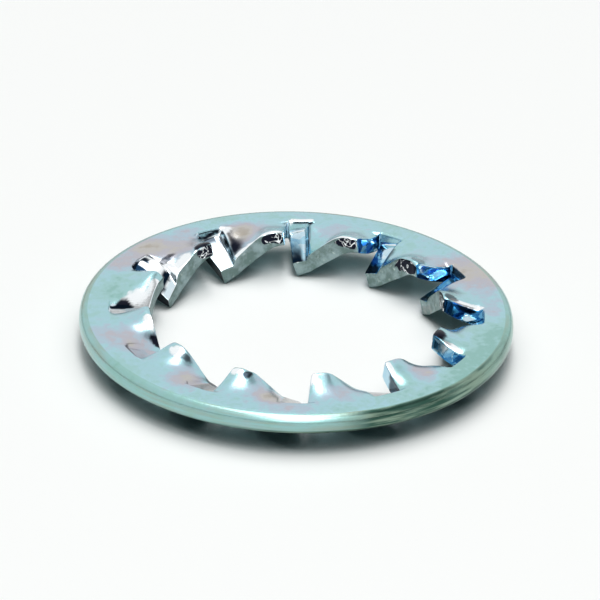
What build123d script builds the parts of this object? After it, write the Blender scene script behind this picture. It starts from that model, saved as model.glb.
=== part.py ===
"""Internal-tooth serrated lock washer, M12 size.

A flat spring-steel ring carries twelve fan-like teeth on its inside edge.
Each tooth is parted from its neighbours by a narrow slit and then twisted:
its clockwise corner (seen from above) is folded up a little proud of the
ring, and its other corner is pressed well below it, so that the washer
rests on twelve low corners.  Along that low side runs a strip pressed one
step deeper than the blade beside it, which squeezed its end a little
further in.  The blades' ends lie on the bore.

Units are millimetres, +Z is up, the washer's axis is Z and z = 0 is the
plane its low corners stand on.
"""
import os
from math import cos, radians, sin

from build123d import *

os.makedirs("parts", exist_ok=True)

# ring
outer_d = 20.5  # outside diameter
bore_d = 13.9  # diameter of the circle that the blades' ends lie on
root_d = 17.68  # diameter of the circle that the slits end on
ring_t = 0.95  # sheet thickness
rim_roll = 0.30  # rounding of the outer top edge left by blanking
rim_break = 0.08  # small rounding of the outer bottom edge

# teeth
tooth_n = 12  # number of teeth
seat = 0.18  # how far a tooth's section starts inside the ring
flush = 0.02  # how far that section stays inside the ring's faces
overrun = 1.15  # a tooth is made this much too long, then bored to length
strip_reach = 0.05  # how far a strip's end stands inside the blades' ends
low_drop = 2.02  # from the ring's top face down to the low corners

# Angles are positive clockwise seen from above, in degrees from the middle
# of a tooth; heights are from the ring's top face.

# a tooth's root, at the ring
root_low_angle = -20.2  # slit side of the strip
root_step_angle = -12.6  # strip's edge along the step
root_blade_angle = -11.5  # blade's edge along the step
root_fold_angle = 1.5  # where the fold fades out
root_high_angle = 9.3  # far edge of the blade
root_low_z = -0.50  # strip's top face at the slit
root_step_z = -0.28  # strip's top face at the step

# a tooth's end, top face
low_angle, low_z = -19.2, -1.24  # slit side of the strip
step_angle, step_z = -13.6, -1.08  # strip's edge along the step
blade_angle, blade_z = -12.5, -0.76  # blade's edge along the step
fold_angle, fold_z = -0.8, 0.47  # apex of the fold
high_angle, high_z = 6.6, 0.54  # raised corner

# a tooth's end, bottom face
under_low_angle = -17.1  # the corner that the washer stands on
under_step_angle, under_step_z = -11.4, -1.69
under_blade_angle, under_blade_z = -10.4, -1.58
under_fold_angle, under_fold_z = 3.0, -0.37
under_high_angle, under_high_z = 7.6, -0.28

# worked out
root_r = root_d / 2 + seat
bore_r = bore_d / 2
strip_r = bore_r - strip_reach
ring_top = low_drop  # height of the ring's top face above the rest plane
ring_bottom = ring_top - ring_t

def at(radius, angle, height):
    """Point at a radius, a clockwise angle and a height from the top face."""
    turn = radians(-angle)
    return Vector(radius * cos(turn), radius * sin(turn), ring_top + height)

def root(angle, top_z):
    """Top and bottom points of the root section at an angle."""
    return at(root_r, angle, top_z), at(root_r, angle, flush - ring_t)

def end(start, radius, angle, height):
    """End point at this place, moved on past it along its line from start."""
    return start + (at(radius, angle, height) - start) * overrun

def fin(top_in, top_out, under_in, under_out):
    """Solid between the ruled faces that join two sections edge by edge."""
    faces = []
    for one, other in (
        (top_in, top_out), (under_in, under_out), (top_in, under_in), (top_out, under_out)
    ):
        faces += [Face.make_surface_from_curves(a, b) for a, b in zip(one, other)]
    for edge, place in ((0, 0), (-1, 1)):
        upper = Edge.make_line(top_in[edge] @ place, top_out[edge] @ place)
        lower = Edge.make_line(under_in[edge] @ place, under_out[edge] @ place)
        faces.append(Face.make_surface_from_curves(upper, lower))
    return Solid(Shell(faces))

# root section, top and bottom
low_in, under_low_in = root(root_low_angle, root_low_z)
step_in, under_step_in = root(root_step_angle, root_step_z)
blade_in, under_blade_in = root(root_blade_angle, -flush)
fold_in, under_fold_in = root(root_fold_angle, -flush)
high_in, under_high_in = root(root_high_angle, -flush)

# end section, top and bottom
low_out = end(low_in, strip_r, low_angle, low_z)
step_out = end(step_in, strip_r, step_angle, step_z)
blade_out = end(blade_in, bore_r, blade_angle, blade_z)
fold_out = end(fold_in, bore_r, fold_angle, fold_z)
high_out = end(high_in, bore_r, high_angle, high_z)
under_low_out = end(under_low_in, strip_r, under_low_angle, -low_drop)
under_step_out = end(under_step_in, strip_r, under_step_angle, under_step_z)
under_blade_out = end(under_blade_in, bore_r, under_blade_angle, under_blade_z)
under_fold_out = end(under_fold_in, bore_r, under_fold_angle, under_fold_z)
under_high_out = end(under_high_in, bore_r, under_high_angle, under_high_z)

def folded(near, fold, far):
    """Edge of the blade: two straight slopes with a rounded fold between."""
    return [Edge.make_bezier(near, fold, fold, fold, far)]

def stepped(low, step, blade):
    """Edges of the strip and of the step up to the blade."""
    return [Edge.make_line(low, step), Edge.make_line(step, blade)]

with BuildPart() as tooth:
    add(fin(
        folded(blade_in, fold_in, high_in),
        folded(blade_out, fold_out, high_out),
        folded(under_blade_in, under_fold_in, under_high_in),
        folded(under_blade_out, under_fold_out, under_high_out),
    ))
    Hole(bore_r)
    add(fin(
        stepped(low_in, step_in, blade_in),
        stepped(low_out, step_out, blade_out),
        stepped(under_low_in, under_step_in, under_blade_in),
        stepped(under_low_out, under_step_out, under_blade_out),
    ))
    Hole(strip_r)

with BuildPart() as lock_washer:
    with BuildSketch(Plane.XY.offset(ring_bottom)):
        Circle(outer_d / 2)
        Circle(root_d / 2, mode=Mode.SUBTRACT)
    extrude(amount=ring_t)
    rims = lock_washer.edges().group_by(SortBy.LENGTH)[-1].sort_by(Axis.Z)
    fillet(rims[-1], rim_roll)
    fillet(rims[0], rim_break)
    with PolarLocations(0, tooth_n):
        add(tooth.part)

lock_washer.part.label = "lock_washer"
export_step(lock_washer.part, "parts/lock_washer.step")
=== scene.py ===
from math import atan2, cos, degrees, exp, hypot, pi, radians, sin

import bmesh
import bpy
from mathutils import Matrix, Vector, noise


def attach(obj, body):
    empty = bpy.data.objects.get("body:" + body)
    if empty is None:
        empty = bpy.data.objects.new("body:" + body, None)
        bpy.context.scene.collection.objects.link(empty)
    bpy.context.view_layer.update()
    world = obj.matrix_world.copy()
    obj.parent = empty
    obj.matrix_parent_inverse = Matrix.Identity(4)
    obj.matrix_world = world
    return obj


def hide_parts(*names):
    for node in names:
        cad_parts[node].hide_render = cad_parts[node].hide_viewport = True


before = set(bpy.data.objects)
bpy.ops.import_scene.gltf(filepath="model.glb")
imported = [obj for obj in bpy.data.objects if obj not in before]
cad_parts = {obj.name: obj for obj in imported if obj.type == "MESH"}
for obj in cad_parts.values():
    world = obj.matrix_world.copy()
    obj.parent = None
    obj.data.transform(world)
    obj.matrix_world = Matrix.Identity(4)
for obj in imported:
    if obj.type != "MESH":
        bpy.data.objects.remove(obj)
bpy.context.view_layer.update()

mm = 0.001

# ---------------------------------------------------------------- washer
# A stamping of spring steel, zinc plated and blue passivated: a flat ring
# with twelve teeth on its inside edge, parted by slits and then twisted.
# One block is modelled, and copied and bent for each tooth in turn.

tooth_n = 12
pitch = 360 / tooth_n
ring_top = 2.02  # height of the ring's top face above the floor
ring_t = 0.95
rim_r = 10.25
rim_roll_in, rim_roll_down = 0.24, 0.42  # rounding of the outer top edge
rim_break = 0.16  # rounding of the outer bottom edge
slit_r = 8.84  # circle that the slits end on
seat_r = 9.02  # circle inside the ring that the teeth are bent from
bore_r = 6.95
strip_r = 6.90

# Edges along a tooth, each with its angle at the root, its top face's
# height there, then angle and height at the tip, and those of the bottom
# face at the tip.  Angles run clockwise from the tooth's middle, in degrees;
# heights are from the ring's top face.
low_edge = (-20.2, -0.50, -19.2, -1.24, -17.1, -2.02)
step_foot = (-12.6, -0.28, -13.6, -1.08, -11.4, -1.69)
step_head = (-11.5, 0.0, -12.5, -0.76, -10.4, -1.58)
fold = (1.5, 0.0, -0.8, 0.51, 3.0, -0.37)
high_edge = (9.3, 0.0, 6.6, 0.60, 7.6, -0.28)

# Each tooth, anticlockwise from the one on the x axis: how deep its strip is
# pressed in at the root and how much deeper it falls away at the end, how far
# the step and the fold are moved, how far its raised corner's end is rolled
# down, how blue its strip and its clockwise side came out, and how high a lip
# the press raised at the root.
teeth = (
    (1.0, 0.0, 0.0, 0.0, 0.16, 0.80, 0.7, 0.0),
    (1.0, 0.0, -1.5, 0.0, 0.16, 0.55, 0.7, 0.0),
    (1.0, 0.0, -2.4, 0.0, 0.16, 0.30, 0.8, 0.05),
    (0.9, 0.0, 0.0, 0.0, 0.16, 0.05, 0.3, 0.0),
    (0.2, 0.3, 0.0, 0.0, 0.16, 0.0, 0.2, 0.0),
    (0.4, 0.0, -5.0, 5.0, 0.16, 0.1, 0.1, 0.0),
    (0.12, 0.0, 0.0, 0.0, 0.12, 0.1, 0.0, 0.0),
    (0.15, 0.0, 0.0, 0.0, 0.08, 0.1, 0.1, 0.0),
    (0.15, 0.0, 0.0, 0.0, 0.08, 0.1, 0.1, 0.0),
    (0.2, 0.0, 0.0, 0.0, 0.0, 0.1, 0.1, 0.0),
    (0.9, 0.0, 0.0, 0.0, 0.10, 0.5, 0.35, 0.0),
    (1.0, 0.0, 0.0, 0.0, 0.12, 0.6, 0.5, 0.0),
)
# Two teeth are also bent along a crease across the blade: the crease's ends,
# as radius and angle, and how steeply the metal falls away beyond it.
creases = {4: (8.8, -17.8, 7.0, -7.5, 1.0), 5: (8.75, -14.5, 6.9, 0.5, 0.42)}
crease_t = 0.8 * ring_t  # thickness of the metal under a crease
barely_pressed = range(6, 10)  # teeth whose strips keep their rolled face

# Where the passivate film is thinner (below 0) or thicker on the ring's top
# face: angle from the x axis, radius, half size in degrees and millimetres.
film_patches = (
    (157, 9.1, 9, 0.9, 0.12), (140, 9.5, 6, 0.8, -0.35), (128, 9.3, 7, 0.8, -0.6),
    (121, 8.0, 9, 0.9, -0.5), (113, 9.2, 4, 0.5, -0.25), (102, 9.6, 6, 0.5, 0.1),
    (95, 8.4, 6, 0.6, -0.45), (99, 7.9, 6, 0.9, -0.45), (65, 8.2, 6, 0.8, -0.2),
    (14, 9.0, 12, 1.1, -0.55), (11, 9.9, 9, 0.5, -0.3), (-12, 9.2, 7, 0.6, -0.3),
    (-42, 9.4, 24, 1.1, 0.32), (-56, 8.3, 5, 0.9, -0.6), (-88, 8.2, 5, 0.8, -0.3),
    (-104, 9.4, 6, 0.5, -0.25), (-111, 8.3, 5, 0.8, -0.7), (-139, 8.3, 6, 0.9, -0.55),
    (-168, 8.4, 9, 0.9, -0.45), (-176, 9.2, 6, 0.6, -0.2), (-150, 9.7, 9, 0.5, 0.1),
)

# where the block's lines run across the strip, the step and the blade, as
# shares of their widths, and along them, as shares of a tooth's length
strip_lines = (0.0, 0.07, 0.5, 0.93)
step_lines = (0.0, 0.5)
blade_lines = (0.0, 0.05, 0.2, 0.34, 0.46, 0.6, 0.74, 0.86, 0.95, 1.0)
ring_rows = (9.9, 9.35, 8.94)
strip_rows = (0.085, 0.13, 0.3, 0.52, 0.75, 0.93, 1.0)
slope_rows = (0.16, 0.26, 0.4, 0.57, 0.77, 0.95, 1.0)
raised_rows = (0.16, 0.26, 0.4, 0.57, 0.74, 0.88, 1.0)
wall_cuts = (0.1, 0.5, 0.93)

# along a blade, as shares of its length
bend_from = 0.05  # it is flat up to here
ease_in = 0.75  # then bends out of the ring, and runs straight past here
first_under_row = 0.16  # the first row's place on the bottom face
end_from = 0.86  # its end is rounded past here
torn_from = 0.8  # and torn uneven past here
raised_part = 0.25, 0.6  # shares of its width between which the raised part starts

# in millimetres
high_roll = 0.07, 0.16  # how far its clockwise edge is rolled down, tip and root
end_drop = 0.015  # how far every end is rounded down, besides its own roll
burr, raised_burr = 0.012, 0.06  # unevenness of an end, and more where raised
burr_fineness, burr_step = 4, 5.3  # its grain, and its change from tooth to tooth

flush_press = 0.9, 0.15  # between these a strip's step dwindles to nothing
flush_slope = 0.04  # its rise for each degree
shifted_roots = -19.5, -13  # angles between which a shift of the step sets in
lip_columns = {2: 0.8, 3: -0.6, 4: 1.7, 5: 0.5}  # ups and downs of the lip
rim_turns = (45, 90, 90)  # how far the rim has turned down at each layer


def mixed(one, other, share):
    return tuple(a + (b - a) * share for a, b in zip(one, other))


def folded(share):
    """Edge line of the blade at a share of its width, bent round the fold."""
    near, far = (1 - share) ** 4, share ** 4
    return tuple(
        near * a + far * c + (1 - near - far) * b
        for a, b, c in zip(step_head, fold, high_edge)
    )


# each line: its edge line, how far it is blade rather than strip, and the
# share of the blade's width
lines = [(mixed(low_edge, step_foot, s), 0.0, 0.0) for s in strip_lines]
lines += [(mixed(step_foot, step_head, s), s, 0.0) for s in step_lines]
lines += [(folded(s), 1.0, s) for s in blade_lines]
across = len(lines) + 1
slit_row = len(ring_rows)
along = slit_row + len(strip_rows)
layers = len(wall_cuts) + 1
low_side = lines[0][0][0] - (lines[0][0][0] + pitch - lines[-1][0][0]) / 2


def spot(radius, angle, height):
    """Point in millimetres; the angle is in degrees, clockwise."""
    a = radians(-angle)
    return Vector((radius * cos(a), radius * sin(a), ring_top + height))


def eased(share):
    if share < ease_in:
        return share ** 2 / (2 * ease_in * (1 - ease_in / 2))
    return (share - ease_in / 2) / (1 - ease_in / 2)


def smooth(low, high, value):
    t = min(1, max(0, (value - low) / (high - low)))
    return t * t * (3 - 2 * t)


def ring_spot(column, row, height):
    """Point of the ring's faces; its columns fan out evenly to the rim."""
    radius = ring_rows[row] if row < slit_row else slit_r
    even = low_side + pitch * column / across
    if column in (0, across):
        angle = even
    else:
        angle = lines[column - 1][0][0]
    spread = smooth(slit_r, rim_r - rim_roll_in, radius)
    return spot(radius, angle + (even - angle) * spread, height)


def fallen(point, crease, thick, blade):
    """A point's height once the metal beyond a crease is bent down."""
    near, far = spot(crease[0], crease[1], 0), spot(crease[2], crease[3], 0)
    side = (far - near).cross(Vector((0, 0, 1))).normalized()
    beyond = (point - near).dot(side)
    plane = ring_top - thick - crease[4] * (beyond if blade else max(0, beyond))
    return plane if beyond > 0 or not blade else min(point.z, plane)


def tooth_spots(column, row, tooth):
    """Top and bottom points of a tooth's faces."""
    edge, blade, width = lines[column - 1]
    root_a, root_z, tip_a, tip_z, under_a, under_z = edge
    press, deeper, step_shift, fold_shift, tip_roll = teeth[tooth][:5]
    n = row - slit_row - 1
    raised = smooth(*raised_part, width)
    v = strip_rows[n] + (slope_rows[n] - strip_rows[n]) * blade
    v += (raised_rows[n] - slope_rows[n]) * raised
    v_under = v if n else first_under_row
    tip_r = strip_r + (bore_r - strip_r) * blade
    flush = smooth(*flush_press, press)
    if width == 0 and blade < 1:  # a strip barely pressed has no step
        level = step_head[3] + flush_slope * (tip_a - step_head[2])
        tip_z += (level - tip_z) * flush
    root_a += step_shift * smooth(*shifted_roots, root_a) * smooth(0.6, 0, width)
    tip_a += fold_shift * smooth(0, 0.35, width) * smooth(1, 0.8, width)
    root = spot(seat_r, root_a, root_z * press)
    top = root.lerp(spot(tip_r, tip_a, tip_z), v)
    under = spot(seat_r, root_a, -ring_t).lerp(spot(bore_r, under_a, under_z), v_under)
    bent, bent_under = (
        eased(max(0, (share - bend_from) / (1 - bend_from))) for share in (v, v_under)
    )
    top.z += blade * (tip_z - root_z) * (bent - v)
    under.z += blade * (under_z + ring_t) * (bent_under - v_under)
    if tooth in creases:
        top.z = fallen(top, creases[tooth], 0, blade)
        under.z = min(under.z, fallen(under, creases[tooth], crease_t, True))
    top.z -= deeper * (1 - blade) * smooth(0.5, 1, v)
    roll = high_roll[1] + (high_roll[0] - high_roll[1]) * v
    top.z -= roll * smooth(0.9, 1.0, width)
    top.z -= (tip_roll * raised + end_drop) * smooth(end_from, 1.0, v)
    if v > torn_from:
        grain_at = (top.x * burr_fineness, top.y * burr_fineness, tooth * burr_step)
        top.z += (raised_burr * raised + burr) * noise.noise(grain_at)
    return top, under


def faces_at(column, row, tooth):
    """Top and bottom points of the block's column and row."""
    if row > slit_row:
        return tooth_spots(column, row, tooth)
    top, under = ring_spot(column, row, 0), ring_spot(column, row, -ring_t)
    if row == slit_row - 1:  # metal that the press pushed up
        top.z += teeth[tooth][7] * lip_columns.get(column, 0)
    if row == 0:
        under = spot(rim_r - rim_break, low_side + pitch * column / across, -ring_t)
    return top, under


def place(column, row, layer, tooth):
    """Where a corner of the block lies on the washer, in millimetres."""
    top, under = faces_at(column, row, tooth)
    if layer == 0:
        return top
    if layer == layers:
        return under
    if row == 0:  # the rim, rolled over above and broken below
        turn = radians(rim_turns[layer - 1])
        radius = rim_r - rim_roll_in * (1 - sin(turn))
        height = rim_roll_down * (cos(turn) - 1)
        if layer == layers - 1:
            height = -ring_t + rim_break
        return spot(radius, low_side + pitch * column / across, height)
    return top.lerp(under, wall_cuts[layer - 1])


# channels of the paint: passivate film, polish with painted highlights, blueness, and painted
# shade and dark reflection, which on the blanked ends also darkens the burnished band
FILM, POLISH_AND_HIGHLIGHT, BLUE, DARK = range(4)
FADE = 4  # added to one of these for a mark with a soft edge
mark_edges = (0.12, 0.6)  # softness of a plain and of a faded mark's edge
TOP, END, SIDE, BACK = range(4)
# Marks on each tooth: the passivate's film and blueness, the press tool's
# polish, painted bright where highlights fall, and painted shade and dark
# reflections, which also darken the ends' burnished band: the face, the
# mark's middle and half sizes in the block's columns and rows (layers on the
# walls), and what the paint turns to there.  Rows are counted from the slit's
# end; a mark below row 0 lies on the ring.  Later marks cover earlier ones.
marks = {
    0: (
        (TOP, 2.5, 0.4, 2.5, 0.6, DARK, 0.75), (TOP, 3.4, 1.7, 1.2, 0.8, BLUE, 0.9),
        (TOP, 2.2, 3.2, 1.2, 1.2, BLUE, 0.25), (TOP, 4.5, 3.3, 1.4, 1.4, BLUE, 1.0),
        (TOP, 2.5, 6.3, 2.0, 0.8, DARK, 0.9), (TOP, 6.0, 4.8, 1.2, 0.9, POLISH_AND_HIGHLIGHT, 0.8),
        (SIDE, 3.2, 0.9, 1.5, 0.8, DARK, 1.0), (SIDE, 1.2, 1.6, 1.6, 1.6, BLUE, 0.75),
        (SIDE, 2.8, 2.7, 1.2, 0.7, BLUE, 0.12), (SIDE, 6.2, 2.0, 1.2, 2.2, DARK, 0.85),
        (TOP, 15.4, 3.0, 0.8, 3.0, POLISH_AND_HIGHLIGHT, 1.0), (TOP, 14.6, 5.6, 1.2, 1.0, DARK, 0.8),
        (END, 13.6, 1.8, 3.2, 2.6, DARK, 1.0), (END, 5.0, 2.6, 3.0, 1.2, FILM, 0.2),
    ),
    1: (
        (TOP, 1.7, 0.5, 1.2, 0.9, BLUE, 0.8), (TOP, 3.6, 0.5, 0.9, 0.8, BLUE, 0.1),
        (TOP, 2.5, 1.6, 2.4, 0.3, BLUE, 0.0), (TOP, 3.3, 3.0, 1.2, 1.2, BLUE, 0.2),
        (TOP, 1.6, 3.5, 0.8, 1.6, BLUE, 0.8), (TOP, 2.4, 6.0, 1.9, 1.2, DARK, 1.0),
        (TOP, 6.6, 4.3, 1.2, 1.2, DARK, 0.7), (TOP, 5.4, 2.6, 1.0, 1.2, BLUE, 0.95),
        (SIDE, 4.6, 1.2, 1.8, 1.2, BLUE, 0.15), (SIDE, 2.4, 2.4, 1.6, 1.2, BLUE, 0.5),
        (SIDE, 0.7, 0.9, 0.9, 1.4, DARK, 0.8), (SIDE, 6.0, 3.4, 1.6, 1.2, DARK, 0.9),
        (TOP, 14.5, 5.6, 1.8, 1.0, DARK, 0.5), (END, 12.8, 1.5, 3.6, 1.7, DARK, 1.0),
    ),
    2: (
        (TOP, 2.6, 0.7, 2.0, 0.5, BLUE, 0.35), (TOP, 2.6, 1.2, 2.4, 0.2, DARK, 0.6),
        (TOP, 3.6, -1.0, 1.6, 0.4, POLISH_AND_HIGHLIGHT, 1.0), (TOP, 1.8, -0.5, 0.4, 0.8, POLISH_AND_HIGHLIGHT, 1.0),
        (TOP, 3.0, -0.1, 0.9, 0.35, DARK, 1.0), (TOP, 4.8, 0.0, 1.0, 0.3, DARK, 1.0),
        (TOP, 2.6, 1.9, 2.0, 0.35, BLUE, 0.0), (TOP, 2.2, 6.8, 3.0, 2.8, DARK + FADE, 1.0),
        (TOP, 1.9, 4.9, 1.4, 1.6, BLUE + FADE, 0.42), (TOP, 3.9, 4.6, 0.4, 2.2, DARK + FADE, 0.0),
        (TOP, 1.1, 3.6, 0.3, 2.6, BLUE, 0.0), (TOP, 5.3, 4.0, 0.4, 3.2, BLUE, 0.15),
        (TOP, 6.6, 3.0, 0.5, 3.2, DARK, 0.5), (SIDE, 3.5, 1.5, 4.0, 2.5, BLUE, 0.75),
        (SIDE, 0.6, 1.0, 0.8, 1.6, DARK, 0.9), (BACK, 4.0, 2.0, 5.0, 3.0, DARK, 0.8),
        (END, 13.4, 1.2, 3.2, 1.3, DARK, 1.0), (TOP, 12.6, 6.7, 3.6, 0.4, POLISH_AND_HIGHLIGHT, 1.0),
    ),
    3: (
        (TOP, 2.6, 0.45, 2.2, 0.62, DARK, 1.0), (TOP, 2.3, 0.3, 1.1, 0.2, DARK, 0.0),
        (TOP, 2.6, 2.7, 2.3, 1.5, DARK, 0.95), (TOP, 2.2, 3.6, 1.8, 0.9, DARK + FADE, 0.35),
        (TOP, 3.8, 2.2, 0.2, 1.8, DARK, 0.0),
        (TOP, 4.6, 3.0, 0.4, 1.6, DARK, 0.9), (TOP, 6.0, 3.4, 0.3, 1.8, DARK, 0.8),
        (TOP, 7.4, 2.4, 0.4, 2.6, DARK + FADE, 0.7), (TOP, 7.3, 5.0, 1.0, 1.3, DARK + FADE, 1.0),
        (TOP, 6.1, 0.9, 1.7, 1.7, DARK, 0.0), (TOP, 6.1, 0.9, 1.7, 1.7, POLISH_AND_HIGHLIGHT, 1.0),
        (TOP, 7.5, 6.5, 1.2, 0.8, DARK, 0.0), (TOP, 7.5, 6.5, 1.8, 0.8, POLISH_AND_HIGHLIGHT, 1.0),
        (TOP, 2.5, 5.9, 2.2, 1.7, DARK, 0.0), (BACK, 4.0, 2.0, 5.0, 3.0, DARK, 1.0),
        (SIDE, 1.0, 1.0, 1.5, 2.0, DARK, 0.6), (END, 13.4, 1.3, 3.2, 1.4, DARK, 1.0),
        (TOP, 12.8, 6.6, 3.0, 0.5, POLISH_AND_HIGHLIGHT, 1.0), (TOP, 9.8, 6.8, 1.6, 0.3, POLISH_AND_HIGHLIGHT, 1.0),
    ),
    4: (
        (TOP, 2.2, 2.2, 2.0, 1.1, DARK, 1.0), (TOP, 2.9, 2.6, 0.3, 0.9, DARK, 0.2),
        (TOP, 1.6, 1.2, 1.4, 0.9, DARK, 1.0), (TOP, 5.6, 3.6, 1.9, 2.2, POLISH_AND_HIGHLIGHT, 1.0),
        (TOP, 7.8, 3.6, 1.2, 0.5, DARK, 0.9), (TOP, 8.4, 6.0, 1.7, 1.2, POLISH_AND_HIGHLIGHT, 1.0),
        (TOP, 6.5, 4.6, 1.6, 1.6, POLISH_AND_HIGHLIGHT, 1.0), (TOP, 3.0, 5.1, 2.4, 0.4, DARK, 1.0),
        (TOP, 5.6, 0.6, 1.9, 0.9, POLISH_AND_HIGHLIGHT, 0.0), (TOP, 3.6, 0.0, 2.6, 0.25, DARK, 0.9),
        (TOP, 6.4, 1.3, 0.5, 1.2, DARK, 0.9), (TOP, 5.4, 1.7, 1.2, 0.3, DARK, 0.9),
        (TOP, 2.6, 6.2, 2.2, 0.7, BLUE, 0.12), (BACK, 4.0, 2.0, 5.0, 3.0, DARK, 0.95),
        (TOP, 13.6, 6.2, 2.6, 0.9, DARK, 1.0), (END, 13.6, 1.5, 2.8, 1.7, DARK, 1.0),
        (TOP, 11.0, 6.8, 0.8, 0.3, POLISH_AND_HIGHLIGHT, 1.0),
    ),
    5: (
        (TOP, 7.6, 4.9, 1.5, 2.4, POLISH_AND_HIGHLIGHT, 1.0), (TOP, 6.4, 3.0, 1.6, 1.4, DARK, 1.0),
        (TOP, 5.0, 2.2, 1.0, 1.3, DARK, 1.0), (TOP, 3.2, 2.6, 0.8, 1.1, POLISH_AND_HIGHLIGHT, 1.0),
        (TOP, 9.8, 6.2, 1.2, 0.9, POLISH_AND_HIGHLIGHT, 1.0),
        (TOP, 1.6, 0.6, 1.0, 0.6, POLISH_AND_HIGHLIGHT, 1.0), (SIDE, 4.0, 2.0, 4.0, 2.5, DARK, 0.7),
    ),
    6: (
        (TOP, 10.6, 6.2, 1.9, 1.0, POLISH_AND_HIGHLIGHT, 1.0), (TOP, 8.1, 6.25, 0.75, 1.1, DARK, 1.0),
        (TOP, 3.4, 1.5, 3.2, 0.6, DARK, 0.75), (TOP, 2.5, 4.0, 2.6, 4.0, FILM, 0.45),
    ),
    7: (
        (TOP, 12.6, 5.6, 1.8, 1.0, POLISH_AND_HIGHLIGHT, 1.0), (TOP, 10.3, 5.6, 1.0, 0.6, DARK, 0.8),
        (TOP, 5.0, 6.3, 2.4, 0.8, DARK, 0.8), (TOP, 3.4, 1.5, 3.0, 0.5, DARK, 0.6),
        (TOP, 2.5, 4.0, 2.6, 4.0, FILM, 0.3),
    ),
    8: (
        (TOP, 14.6, 6.0, 1.2, 0.75, POLISH_AND_HIGHLIGHT, 1.0), (TOP, 12.0, 5.9, 1.1, 0.9, DARK, 0.95),
        (TOP, 6.0, 6.4, 2.0, 0.8, DARK, 0.7), (TOP, 2.5, 4.0, 2.6, 4.0, FILM, 0.3),
    ),
    9: (
        (TOP, 15.6, 6.0, 0.9, 1.2, POLISH_AND_HIGHLIGHT, 1.0), (TOP, 14.2, 6.0, 0.35, 0.5, DARK, 0.45),
        (TOP, 5.5, 6.8, 3.6, 0.4, DARK, 0.55), (TOP, 2.5, 4.0, 2.6, 4.0, FILM, 0.3),
    ),
    10: (
        (TOP, 15.3, 5.6, 0.7, 1.6, POLISH_AND_HIGHLIGHT, 1.0), (SIDE, 5.0, 1.5, 2.6, 2.6, BLUE, 0.3),
        (SIDE, 2.2, 2.0, 2.4, 3.4, DARK, 0.85), (TOP, 5.5, 6.7, 4.0, 0.45, DARK, 0.6),
    ),
    11: (
        (TOP, 14.6, 6.1, 1.8, 1.3, DARK, 1.0), (TOP, 15.5, 3.2, 0.8, 1.6, POLISH_AND_HIGHLIGHT, 1.0),
        (SIDE, 6.0, 1.4, 1.4, 1.6, DARK, 0.6), (SIDE, 4.0, 1.6, 1.0, 1.2, BLUE, 0.1),
        (SIDE, 1.6, 1.6, 1.6, 2.0, BLUE, 0.65), (SIDE, 1.8, 3.3, 1.0, 0.5, BLUE, 0.0),
        (END, 14.0, 1.5, 2.6, 2.0, DARK, 0.7), (TOP, 3.0, 2.6, 2.4, 1.6, BLUE, 0.0),
    ),
}


top_film, under_film = 0.78, 0.8  # the film where nothing shifts it
film_drifts = ((0.12, 0.7), (0.05, 2.1))  # strength and fineness of its drifts
mark_drifts = ((0.22, 3.1), (0.12, 7.7))  # and those of the marks' ragged edges
# dark streaked patches painted on the rim's near right side, a painted dark reflection: angle
# from the x axis, half size in degrees, depth
rim_painted_dark_patches = ((-80, 8, 1.0), (-64, 11, 1.0), (-47, 9, 0.8), (-33, 8, 0.5))
# painted shade along the rim's lower edge, where it faces the shaded floor
rim_shade_line = (-75, 50)  # the dark line on its lower edge: angle and half size


def from_middle(angle, middle):
    """An angle measured from another, from -180 to 180 degrees."""
    return (angle - middle + 180) % 360 - 180


def drift(at, waves):
    return sum(strength * noise.noise(at * fineness) for strength, fineness in waves)


def finish_and_painted_light_at(column, row, layer, tooth, at):
    """Film thickness, polish and painted highlight, blueness, and painted shade at a point."""
    angle, radius = degrees(atan2(at.y, at.x)), hypot(at.x, at.y)
    film = top_film
    for middle, middle_r, wide, deep, shift in film_patches:
        off = from_middle(angle, middle) / wide
        film += shift * exp(-off * off - ((radius - middle_r) / deep) ** 2)
    film += drift(at, film_drifts)
    underside = layer > layers - 0.1
    finish_and_painted_light = [under_film if underside else film, 0.0, teeth[tooth][5], 0.0]
    up = row - slit_row
    if up > 0.01 or (up > -2 and layer < 0.1):
        if row > along - 0.01 and layer > 0.1:
            face, x, y = END, column, layer
        elif column > across - 1.01 and layer > 0.1:
            face, x, y = SIDE, up, layer
            finish_and_painted_light[BLUE] = teeth[tooth][6]
        elif column < 1.01 and layer > 0.1:
            face, x, y = BACK, up, layer
        else:
            face, x, y = TOP, column, up
        ragged = drift(at, mark_drifts)
        for marked, middle_x, middle_y, half_x, half_y, kind, value in marks[tooth]:
            if marked == face and layer < layers - 0.1:
                off = hypot((x - middle_x) / half_x, (y - middle_y) / half_y)
                edge = mark_edges[kind // FADE]
                share = smooth(1 + edge, 1 - edge, off + ragged)
                finish_and_painted_light[kind % FADE] += (value - finish_and_painted_light[kind % FADE]) * share
    elif row < 0.01 and 0.1 < layer < layers - 0.1:
        # painted dark reflection in streaked patches on the rim's near right side
        for middle, wide, deep in rim_painted_dark_patches:
            off = from_middle(angle, middle) / wide
            finish_and_painted_light[DARK] += deep * exp(-off * off)
        # painted shade along the rim's lower edge
        off = from_middle(angle, rim_shade_line[0]) / rim_shade_line[1]
        finish_and_painted_light[DARK] += exp(-off ** 4) * smooth(layers - 1.2, layers - 1, layer)
    return [min(1, max(0, value)) for value in finish_and_painted_light]


# the block: a grid, slit at both sides, extruded down and cut into layers
bpy.ops.object.select_all(action="DESELECT")
bpy.ops.mesh.primitive_grid_add(
    x_subdivisions=across, y_subdivisions=along, size=1, enter_editmode=True
)
washer = bpy.context.object
washer.name = "washer"
bpy.ops.transform.resize(value=(across, along, 1))
bpy.ops.transform.translate(value=(across / 2, along / 2, 0))


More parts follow.
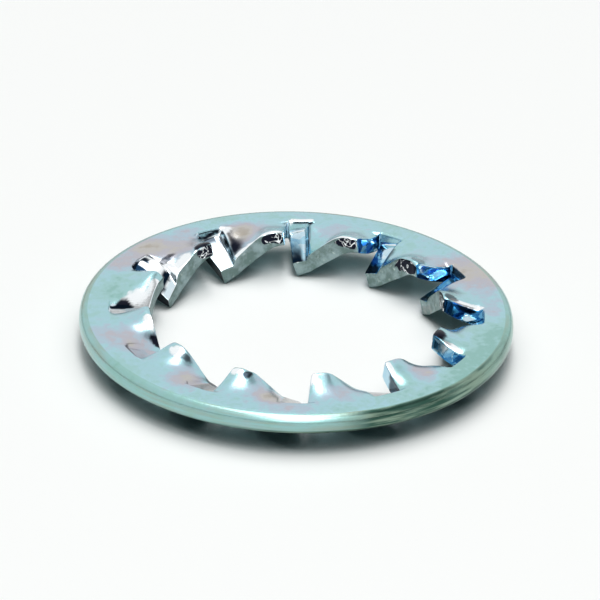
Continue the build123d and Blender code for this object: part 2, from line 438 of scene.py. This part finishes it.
def choose(kind, wanted):
    """Selects only the edges or faces that are wanted, by their corners."""
    bpy.ops.mesh.select_mode(type=kind)
    bpy.ops.mesh.select_all(action="DESELECT")
    mesh = bmesh.from_edit_mesh(bpy.context.object.data)
    for item in mesh.edges if kind == "EDGE" else mesh.faces:
        item.select_set(wanted([v.co for v in item.verts]))
    mesh.select_flush_mode()
    bmesh.update_edit_mesh(bpy.context.object.data)


choose("FACE", lambda at: min(p.y for p in at) > slit_row - 0.5
       and (min(p.x for p in at) < 0.5 or max(p.x for p in at) > across - 0.5))
bpy.ops.mesh.delete(type="FACE")
bpy.ops.mesh.select_all(action="SELECT")
bpy.ops.mesh.extrude_region_move(TRANSFORM_OT_translate={"value": (0, 0, -layers)})
choose("FACE", lambda at: max(p.x for p in at) < 0.5 or min(p.x for p in at) > across - 0.5)
bpy.ops.mesh.delete(type="ONLY_FACE")
choose("EDGE", lambda at: abs(at[0].z - at[1].z) > layers - 0.5)
bpy.ops.mesh.subdivide(number_cuts=layers - 1)
bpy.ops.mesh.select_all(action="SELECT")
bpy.ops.mesh.normals_make_consistent(inside=False)

# finishes: 0 satin faces, 1 pressed and slit faces, 2 blanked ends, 3 rim
strip_end = len(strip_lines) + len(step_lines) + 1
block = bmesh.from_edit_mesh(washer.data)
for face in block.faces:
    at = face.calc_center_median()
    top_face = at.z > -0.01
    bottom_face = at.z < 0.01 - layers
    if not top_face and not bottom_face:
        if at.y < 0.01:
            face.material_index = 3
        elif at.y > along - 0.01:
            face.material_index = 2
        else:
            face.material_index = 1
    elif top_face and at.y > slit_row + 1 and at.x < strip_end:
        face.material_index = 1
    face.smooth = True
bmesh.update_edit_mesh(washer.data)
bpy.ops.object.mode_set(mode="OBJECT")


# ---- materials
def new_material(name):
    material = bpy.data.materials.new(name)
    material.use_nodes = True
    tree = material.node_tree
    return material, tree.nodes, tree.links, tree.nodes["Principled BSDF"]


def new_group(name, ins, outs):
    """Shader node group; each input is its name, kind and value."""
    group = bpy.data.node_groups.new(name, "ShaderNodeTree")
    for label, kind, value in ins:
        socket = group.interface.new_socket(label, in_out="INPUT", socket_type=kind)
        socket.default_value = value
    for label, kind in outs:
        group.interface.new_socket(label, in_out="OUTPUT", socket_type=kind)
    nodes = group.nodes
    return group, nodes, group.links, nodes.new("NodeGroupInput"), nodes.new("NodeGroupOutput")


def feed(links, value, socket):
    """Gives a socket its value, which is another socket or a plain value."""
    if hasattr(value, "links"):
        links.new(value, socket)
    else:
        socket.default_value = value


def calc(nodes, links, work, *values, clamp=False):
    node = nodes.new("ShaderNodeMath")
    node.operation, node.use_clamp = work, clamp
    for socket, value in zip(node.inputs, values):
        feed(links, value, socket)
    return node.outputs[0]


def vector_calc(nodes, links, work, one, other, result="Vector"):
    node = nodes.new("ShaderNodeVectorMath")
    node.operation = work
    feed(links, one, node.inputs[0])
    feed(links, other, node.inputs[1])
    return node.outputs[result]


def blend(nodes, links, share, one, other):
    """Mix of two colours, each a socket or a colour."""
    node = nodes.new("ShaderNodeMix")
    node.data_type = "RGBA"
    for number, value in ((0, share), (6, one), (7, other)):
        feed(links, value, node.inputs[number])
    return node.outputs[2]


def ranged(nodes, links, value, low, high, to_low=0.0, to_high=1.0, kind="LINEAR"):
    """A value's place between low and high, carried over to the second span."""
    node = nodes.new("ShaderNodeMapRange")
    node.interpolation_type = kind
    labels = ("Value", "From Min", "From Max", "To Min", "To Max")
    for label, number in zip(labels, (value, low, high, to_low, to_high)):
        feed(links, number, node.inputs[label])
    return node.outputs[0]


def clouds(nodes, links, scale, detail, stretch=None, turn=0, **settings):
    """Noise on the object's coordinates, turned and stretched if asked."""
    at = nodes.new("ShaderNodeTexCoord").outputs["Object"]
    if stretch:
        drawn = nodes.new("ShaderNodeMapping")
        drawn.inputs["Rotation"].default_value = (0, 0, radians(turn))
        drawn.inputs["Scale"].default_value = stretch
        links.new(at, drawn.inputs["Vector"])
        at = drawn.outputs[0]
    node = nodes.new("ShaderNodeTexNoise")
    for label, value in {"Vector": at, "Scale": scale, "Detail": detail, **settings}.items():
        feed(links, value, node.inputs[label])
    return node.outputs["Fac"]


def colour_ramp(nodes, links, value, stops, kind="LINEAR"):
    node = nodes.new("ShaderNodeValToRGB")
    ramp = node.color_ramp
    ramp.interpolation = kind
    while len(ramp.elements) < len(stops):
        ramp.elements.new(0.5)
    for element, (at, colour) in zip(ramp.elements, stops):
        element.position, element.color = at, (*colour, 1)
    links.new(value, node.inputs["Fac"])
    return node.outputs["Color"]


def bumped(nodes, links, height, strength, distance):
    node = nodes.new("ShaderNodeBump")
    node.inputs["Strength"].default_value = strength
    node.inputs["Distance"].default_value = distance
    links.new(height, node.inputs["Height"])
    return node


FLOAT, COLOUR = "NodeSocketFloat", "NodeSocketColor"

# The passivate film: its colour runs from straw through violet and blue to
# green as it thickens, in soft drifts and fine cloudy mottling.
film_group, nodes, links, given, result = new_group(
    "passivate_film",
    (("Film", FLOAT, 0.7), ("Mottle", FLOAT, 0.1), ("Depth", FLOAT, 1.0)),
    (("Colour", COLOUR), ("Cloud", FLOAT)),
)
cloud = clouds(nodes, links, 2000, 4, Roughness=0.6)
mottling = calc(nodes, links, "SUBTRACT", cloud, 0.5)
mottling = calc(nodes, links, "MULTIPLY", mottling, given.outputs["Mottle"])
thick = calc(nodes, links, "ADD", given.outputs["Film"], mottling, clamp=True)
film_tints = (
    (0.0, (0.42, 0.39, 0.34)), (0.22, (0.50, 0.49, 0.47)), (0.4, (0.47, 0.47, 0.52)),
    (0.58, (0.42, 0.53, 0.62)), (0.74, (0.37, 0.60, 0.66)), (0.88, (0.34, 0.57, 0.57)),
    (1.0, (0.27, 0.49, 0.46)),
)
deepen = nodes.new("ShaderNodeHueSaturation")
links.new(given.outputs["Depth"], deepen.inputs["Saturation"])
links.new(colour_ramp(nodes, links, thick, film_tints, "EASE"), deepen.inputs["Color"])
links.new(deepen.outputs["Color"], result.inputs["Colour"])
links.new(cloud, result.inputs["Cloud"])

# Fine grain of plated sheet: a tight pebble and faint drawn lines.
grain_group, nodes, links, given, result = new_group(
    "plated_grain",
    (("Size", FLOAT, 9000.0), ("Lines", FLOAT, 0.3)),
    (("Height", FLOAT), ("Fleck", FLOAT)),
)
pebble = clouds(nodes, links, given.outputs["Size"], 3)
scratch = clouds(nodes, links, 1, 2, stretch=(700, 14000, 2000), turn=25)
lined = calc(nodes, links, "MULTIPLY", scratch, given.outputs["Lines"])
links.new(calc(nodes, links, "ADD", pebble, lined), result.inputs["Height"])
links.new(ranged(nodes, links, pebble, 0.62, 0.76), result.inputs["Fleck"])

# Flats left by the press tool: cells that each lean their own way.
facet_group, nodes, links, given, result = new_group(
    "press_facets",
    (("Size", FLOAT, 2200.0), ("Lean", FLOAT, 0.3)),
    (("Height", FLOAT), ("Tone", FLOAT)),
)
place_at = nodes.new("ShaderNodeTexCoord").outputs["Object"]
cells = nodes.new("ShaderNodeTexVoronoi")
links.new(given.outputs["Size"], cells.inputs["Scale"])
links.new(place_at, cells.inputs["Vector"])
lean = vector_calc(nodes, links, "SUBTRACT", cells.outputs["Color"], (0.5, 0.5, 0.5))
inside = vector_calc(nodes, links, "SUBTRACT", place_at, cells.outputs["Position"])
rise = vector_calc(nodes, links, "DOT_PRODUCT", inside, lean, "Value")
rise = calc(nodes, links, "MULTIPLY", rise, given.outputs["Lean"])
links.new(rise, result.inputs["Height"])
tone = nodes.new("ShaderNodeSeparateColor")
links.new(cells.outputs["Color"], tone.inputs["Color"])
links.new(tone.outputs["Red"], result.inputs["Tone"])


def plated(name, mottle, depth, grain_size, drawn_lines, bump):
    """Starts a plated finish: its film colour, painted masks and grain.

    Gives its nodes, links and shader, the film and grain groups, and the
    masks for polish with painted highlights, blueness, and painted shade.
    """
    material, nodes, links, shader = new_material(name)
    washer.data.materials.append(material)
    shader.inputs["Metallic"].default_value = 1
    painted = nodes.new("ShaderNodeAttribute")
    painted.attribute_name = "finish_and_painted_light"
    parts = nodes.new("ShaderNodeSeparateColor")
    links.new(painted.outputs["Color"], parts.inputs["Color"])
    film = nodes.new("ShaderNodeGroup")
    film.node_tree = film_group
    film.inputs["Mottle"].default_value = mottle
    film.inputs["Depth"].default_value = depth
    links.new(parts.outputs["Red"], film.inputs["Film"])
    grain = nodes.new("ShaderNodeGroup")
    grain.node_tree = grain_group
    grain.inputs["Size"].default_value = grain_size
    grain.inputs["Lines"].default_value = drawn_lines
    pebbled = bumped(nodes, links, grain.outputs["Height"], 1, bump * mm)
    links.new(pebbled.outputs["Normal"], shader.inputs["Normal"])
    masks = parts.outputs["Green"], parts.outputs["Blue"], painted.outputs["Alpha"]
    return nodes, links, shader, film, grain, masks


# bright zinc, also painted where highlights fall
bright_zinc_highlight = (0.89, 0.93, 0.95, 1)
# near-black violet painted for shade and dark reflection, and for the ends' dark burnished band
violet_shade_and_burnish = (0.010, 0.012, 0.022, 1)
# near-black blue painted for shade and dark reflection on pressed faces
blue_shade = (0.003, 0.010, 0.022, 1)
grey_green, dark_grey_green = (0.17, 0.24, 0.235, 1), (0.15, 0.22, 0.21, 1)
pale_fleck = (0.50, 0.60, 0.57, 1)
rim_green, rim_tan = (0.25, 0.47, 0.41, 1), (0.33, 0.36, 0.28, 1)
# the rim's painted shade and dark reflection, light and dark in streaks
light_rim_shade, dark_rim_shade = (0.26, 0.36, 0.28, 1), (0.035, 0.09, 0.068, 1)

# rolled faces, satin, polished to bright zinc where the tool bent them and painted bright zinc
# where highlights fall; painted shade darkens them to near-black violet
nodes, links, shader, film, _, (polish_and_highlight, _, dark) = plated(
    "zinc_satin", mottle=0.6, depth=1.0, grain_size=7000, drawn_lines=0.5, bump=0.0032
)
skin = blend(nodes, links, polish_and_highlight, film.outputs["Colour"], bright_zinc_highlight)
skin = blend(nodes, links, dark, skin, violet_shade_and_burnish)
links.new(skin, shader.inputs["Base Color"])
rough = calc(nodes, links, "MULTIPLY_ADD", polish_and_highlight, -0.12, 0.21)
rough = calc(nodes, links, "MULTIPLY_ADD", film.outputs["Cloud"], 0.06, rough)
links.new(rough, shader.inputs["Roughness"])

# pressed and slit faces, smooth, silver to deep blue, in flats where blue, painted bright zinc
# where highlights fall and near-black blue for painted shade and dark reflections
nodes, links, shader, film, _, (polish_and_highlight, blue, dark) = plated(
    "zinc_pressed", mottle=0.5, depth=1.0, grain_size=3000, drawn_lines=0.2, bump=0.002
)
flats = nodes.new("ShaderNodeGroup")
flats.node_tree = facet_group
lean = calc(nodes, links, "SUBTRACT", blue, 0.4, clamp=True)
links.new(calc(nodes, links, "MULTIPLY", lean, 0.9), flats.inputs["Lean"])
leaning = bumped(nodes, links, flats.outputs["Height"], 1, 1)
links.new(shader.inputs["Normal"].links[0].from_socket, leaning.inputs["Normal"])
links.new(leaning.outputs["Normal"], shader.inputs["Normal"])
wander = calc(nodes, links, "SUBTRACT", flats.outputs["Tone"], 0.5)
wander = calc(nodes, links, "MULTIPLY", wander, 0.9)
wander = calc(nodes, links, "MULTIPLY", wander, blue)
blueness = calc(nodes, links, "ADD", blue, wander, clamp=True)
blues = (
    (0.0, (0.78, 0.84, 0.87)), (0.35, (0.40, 0.66, 0.80)),
    (0.7, (0.08, 0.32, 0.56)), (1.0, (0.012, 0.08, 0.28)),
)
skin = colour_ramp(nodes, links, blueness, blues)
skin = blend(nodes, links, polish_and_highlight, skin, bright_zinc_highlight)
skin = blend(nodes, links, dark, skin, blue_shade)
links.new(skin, shader.inputs["Base Color"])
rough = calc(nodes, links, "MULTIPLY_ADD", film.outputs["Cloud"], 0.12, 0.04)
links.new(rough, shader.inputs["Roughness"])

# blanked ends: dull, mottled and torn, with a burnished band painted dark for
# the dark reflection it shows, and painted glints along it in thin curled lines
nodes, links, shader, film, grain, (_, _, dark) = plated(
    "zinc_sheared", mottle=0.3, depth=0.6, grain_size=4200, drawn_lines=0.6, bump=0.012
)
ragged = calc(nodes, links, "MULTIPLY_ADD", film.outputs["Cloud"], 0.7, -0.35)
torn = calc(nodes, links, "ADD", dark, ragged)
band = ranged(nodes, links, torn, 0.42, 0.56)
dull = blend(nodes, links, 0.6, film.outputs["Colour"], grey_green)
mottle = ranged(nodes, links, film.outputs["Cloud"], 0.42, 0.62)
dull = blend(nodes, links, mottle, dark_grey_green, dull)
dull = blend(nodes, links, grain.outputs["Fleck"], dull, pale_fleck)
skin = blend(nodes, links, band, dull, violet_shade_and_burnish)
curl = clouds(nodes, links, 1500, 2, Distortion=1.5)
curl = calc(nodes, links, "ABSOLUTE", calc(nodes, links, "SUBTRACT", curl, 0.47))
thin = ranged(nodes, links, curl, 0.022, 0.010)
glint = calc(nodes, links, "MULTIPLY", thin, band)
skin = blend(nodes, links, glint, skin, bright_zinc_highlight)
links.new(skin, shader.inputs["Base Color"])
rough = calc(nodes, links, "MULTIPLY_ADD", band, -0.25, 0.42)
links.new(rough, shader.inputs["Roughness"])

# the rim: rolled over and streaked, with a painted dark reflection on its near right side and
# painted shade along its lower edge
nodes, links, shader, film, _, (_, _, dark) = plated(
    "zinc_rim", mottle=0.6, depth=1.0, grain_size=5000, drawn_lines=0.2, bump=0.003
)
streak = clouds(nodes, links, 1, 4, stretch=(350, 350, 6000))
tan = ranged(nodes, links, streak, 0.45, 0.7, 0.0, 0.6)
green = blend(nodes, links, 0.55, film.outputs["Colour"], rim_green)
skin = blend(nodes, links, tan, green, rim_tan)
line = ranged(nodes, links, streak, 0.42, 0.56, 0.15, 1.0)
streaked_rim_shade = blend(nodes, links, line, light_rim_shade, dark_rim_shade)
skin = blend(nodes, links, dark, skin, streaked_rim_shade)
links.new(skin, shader.inputs["Base Color"])
shader.inputs["Roughness"].default_value = 0.25

# a copy of the block for each tooth, bent and keeping its place in the block for the painting
# below, then merged
washer.data.attributes.new("block", "FLOAT_COLOR", "POINT")
plain = washer.data.copy()
sectors = []
for tooth in range(tooth_n):
    if tooth == 0:
        sector = washer
    else:
        sector = bpy.data.objects.new(f"washer_{tooth}", plain.copy())
        bpy.context.collection.objects.link(sector)
    turn = Matrix.Rotation(radians(tooth * pitch), 4, "Z")
    block_at = sector.data.attributes["block"].data
    if tooth in barely_pressed:
        for face in sector.data.polygons:
            if face.material_index == 1 and face.center.z > -0.01:
                face.material_index = 0
    for corner in sector.data.vertices:
        step = [abs(round(c)) for c in corner.co]
        block_at[corner.index].color = (*step, tooth)
        corner.co = turn @ place(*step, tooth) * mm
    sectors.append(sector)
for sector in sectors:
    sector.select_set(True)
bpy.context.view_layer.objects.active = washer
bpy.ops.object.join()
bpy.ops.object.mode_set(mode="EDIT")
bpy.ops.mesh.select_all(action="SELECT")
bpy.ops.mesh.remove_doubles(threshold=0.002 * mm)
bpy.ops.mesh.normals_make_consistent(inside=False)
bpy.ops.object.mode_set(mode="OBJECT")
rounding = washer.modifiers.new("rounding", "SUBSURF")
rounding.levels = rounding.render_levels = 2
bpy.ops.object.modifier_apply(modifier="rounding")

# the finish, with its painted highlights and shade, is painted once the shape is whole
washer.data.attributes.new("finish_and_painted_light", "FLOAT_COLOR", "POINT")
block_at = [tuple(item.color) for item in washer.data.attributes["block"].data]
paint = washer.data.attributes["finish_and_painted_light"].data
for corner, (column, row, layer, tooth) in zip(washer.data.vertices, block_at):
    at = corner.co / mm
    paint[corner.index].color = finish_and_painted_light_at(column, row, layer, round(tooth), at)
washer.data.attributes.remove(washer.data.attributes["block"])

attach(washer, "root")
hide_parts("lock_washer")

# ---------------------------------------------------------------- studio
# A white table under one long soft lamp, in a white room.  A contact shadow is
# painted into the table's colour close to the washer, from ambient occlusion, and painted deeper
# on the near side.
bpy.ops.object.select_all(action="DESELECT")
bpy.ops.mesh.primitive_plane_add(size=0.8)
floor = bpy.context.object
floor.name = "floor"
table_white, painted_contact_shadow = (0.955, 0.96, 0.95, 1), (0.03, 0.06, 0.06, 1)
material, nodes, links, shader = new_material("white_table")
near = nodes.new("ShaderNodeAmbientOcclusion")
near.inputs["Distance"].default_value = 1.32 * mm
floor_axes = nodes.new("ShaderNodeSeparateXYZ")
links.new(nodes.new("ShaderNodeTexCoord").outputs["Object"], floor_axes.inputs[0])
# painted contact shadow: darkest where occlusion is strong, deeper on the near side
deepest = ranged(nodes, links, floor_axes.outputs["Y"], -6 * mm, 5 * mm, 0.05, 0.45)
dim = ranged(nodes, links, near.outputs["AO"], 0.6, 0.78, deepest, 1.0)
links.new(blend(nodes, links, dim, painted_contact_shadow, table_white), shader.inputs["Base Color"])
shader.inputs["Roughness"].default_value = 0.8
shader.inputs["Specular IOR Level"].default_value = 0.1
floor.data.materials.append(material)

view_turn = radians(-13)  # the camera looks 13 degrees clockwise of the y axis
lamp_at, lamp_turn = (0.014, -0.13, 0.40), radians(5)
lamp_radiance = 4.4
bpy.ops.object.light_add(type="AREA")
lamp = bpy.context.object
lamp.name = "long_soft_lamp"
lamp.data.shape = "RECTANGLE"
lamp.data.size, lamp.data.size_y = 0.11, 0.76
lamp.data.energy = lamp_radiance * pi * lamp.data.size * lamp.data.size_y
lamp.matrix_world = (
    Matrix.Rotation(view_turn, 4, "Z")
    @ Matrix.Translation(lamp_at)
    @ Matrix.Rotation(lamp_turn, 4, "Z")
)

# The room: white all round, with a dark gap beside the lamp, dim below the
# horizon and with a window behind the camera.  Directions are turned into the
# camera's heading, x to its right and y away from it.
world = bpy.data.worlds.new("studio")
bpy.context.scene.world = world
world.use_nodes = True
nodes, links = world.node_tree.nodes, world.node_tree.links
turned_room = nodes.new("ShaderNodeMapping")
turned_room.vector_type = "POINT"
turned_room.inputs["Rotation"].default_value = (0, 0, -view_turn)
heading = nodes.new("ShaderNodeTexCoord").outputs["Generated"]
links.new(heading, turned_room.inputs["Vector"])
axes = nodes.new("ShaderNodeSeparateXYZ")
links.new(turned_room.outputs[0], axes.inputs[0])


def span(value, low, high, to_low=0.0, to_high=1.0):
    return ranged(nodes, links, value, low, high, to_low, to_high, "SMOOTHSTEP")


gap_at, gap_size = (0.42, 0.2), (0.2, 0.4)
gap = nodes.new("ShaderNodeMapping")
gap.inputs["Location"].default_value = (-gap_at[0] / gap_size[0], -gap_at[1] / gap_size[1], 0)
gap.inputs["Scale"].default_value = (1 / gap_size[0], 1 / gap_size[1], 0)
links.new(turned_room.outputs[0], gap.inputs["Vector"])
ball = nodes.new("ShaderNodeTexGradient")
ball.gradient_type = "SPHERICAL"
links.new(gap.outputs[0], ball.inputs["Vector"])
lit = span(ball.outputs["Fac"], 0.0, 0.3, 1.0, 0.4)
horizon = span(axes.outputs["Z"], -0.02, 0.22, 0.3, 1.0)
lit = calc(nodes, links, "MULTIPLY", lit, horizon)
window_x, window_light = 0.02, 2.0
wide = calc(nodes, links, "ADD", axes.outputs["X"], -window_x)
window = span(calc(nodes, links, "ABSOLUTE", wide), 0.12, 0.26, 1.0, 0.0)
window = calc(nodes, links, "MULTIPLY", window, span(axes.outputs["Y"], -0.3, -0.2, 1.0, 0.0))
window = calc(nodes, links, "MULTIPLY", window, span(axes.outputs["Z"], 0.1, 0.3))
lit = calc(nodes, links, "MULTIPLY_ADD", window, window_light, lit)

# matt faces are lit from above, shiny ones show the room, and the camera sees
# plain white
fill = nodes["Background"]
room, backdrop = (nodes.new("ShaderNodeBackground") for _ in range(2))
from_above = span(axes.outputs["Z"], 0.55, 0.98, 0.02, 1.35)
for light, colour, strength in (
    (fill, (0.98, 1, 1, 1), from_above), (room, (1, 1, 1, 1), lit), (backdrop, (1, 1, 1, 1), 1.0)
):
    light.inputs["Color"].default_value = colour
    feed(links, strength, light.inputs["Strength"])
path = nodes.new("ShaderNodeLightPath")
seen = fill
for light, ray in ((room, "Is Glossy Ray"), (backdrop, "Is Camera Ray")):
    either = nodes.new("ShaderNodeMixShader")
    links.new(path.outputs[ray], either.inputs["Fac"])
    links.new(seen.outputs[0], either.inputs[1])
    links.new(light.outputs[0], either.inputs[2])
    seen = either
links.new(seen.outputs[0], nodes["World Output"].inputs["Surface"])

# the camera: a long lens, its distance and shifts counted in ring radii
lift, roll = radians(28.75), radians(1.56)
aim = Vector((0, 0, 1.07 * mm))  # middle of the ring's underside
away, shift_right, shift_up = 27.637, 0.0181, 0.1259
turned = (
    Matrix.Rotation(view_turn, 4, "Z")
    @ Matrix.Rotation(pi / 2 - lift, 4, "X")
    @ Matrix.Rotation(roll, 4, "Z")
)
right, up, back = (turned.col[n].to_3d() for n in range(3))
eye = aim + rim_r * mm * (away * back + shift_right * right + shift_up * up)
bpy.ops.object.camera_add()
camera = bpy.context.object
camera.matrix_world = Matrix.Translation(eye) @ turned
camera.data.lens, camera.data.sensor_width = 360, 36
camera.data.clip_start, camera.data.clip_end = 0.01, 10
bpy.context.scene.camera = camera
bpy.context.scene.view_settings.view_transform = "Standard"
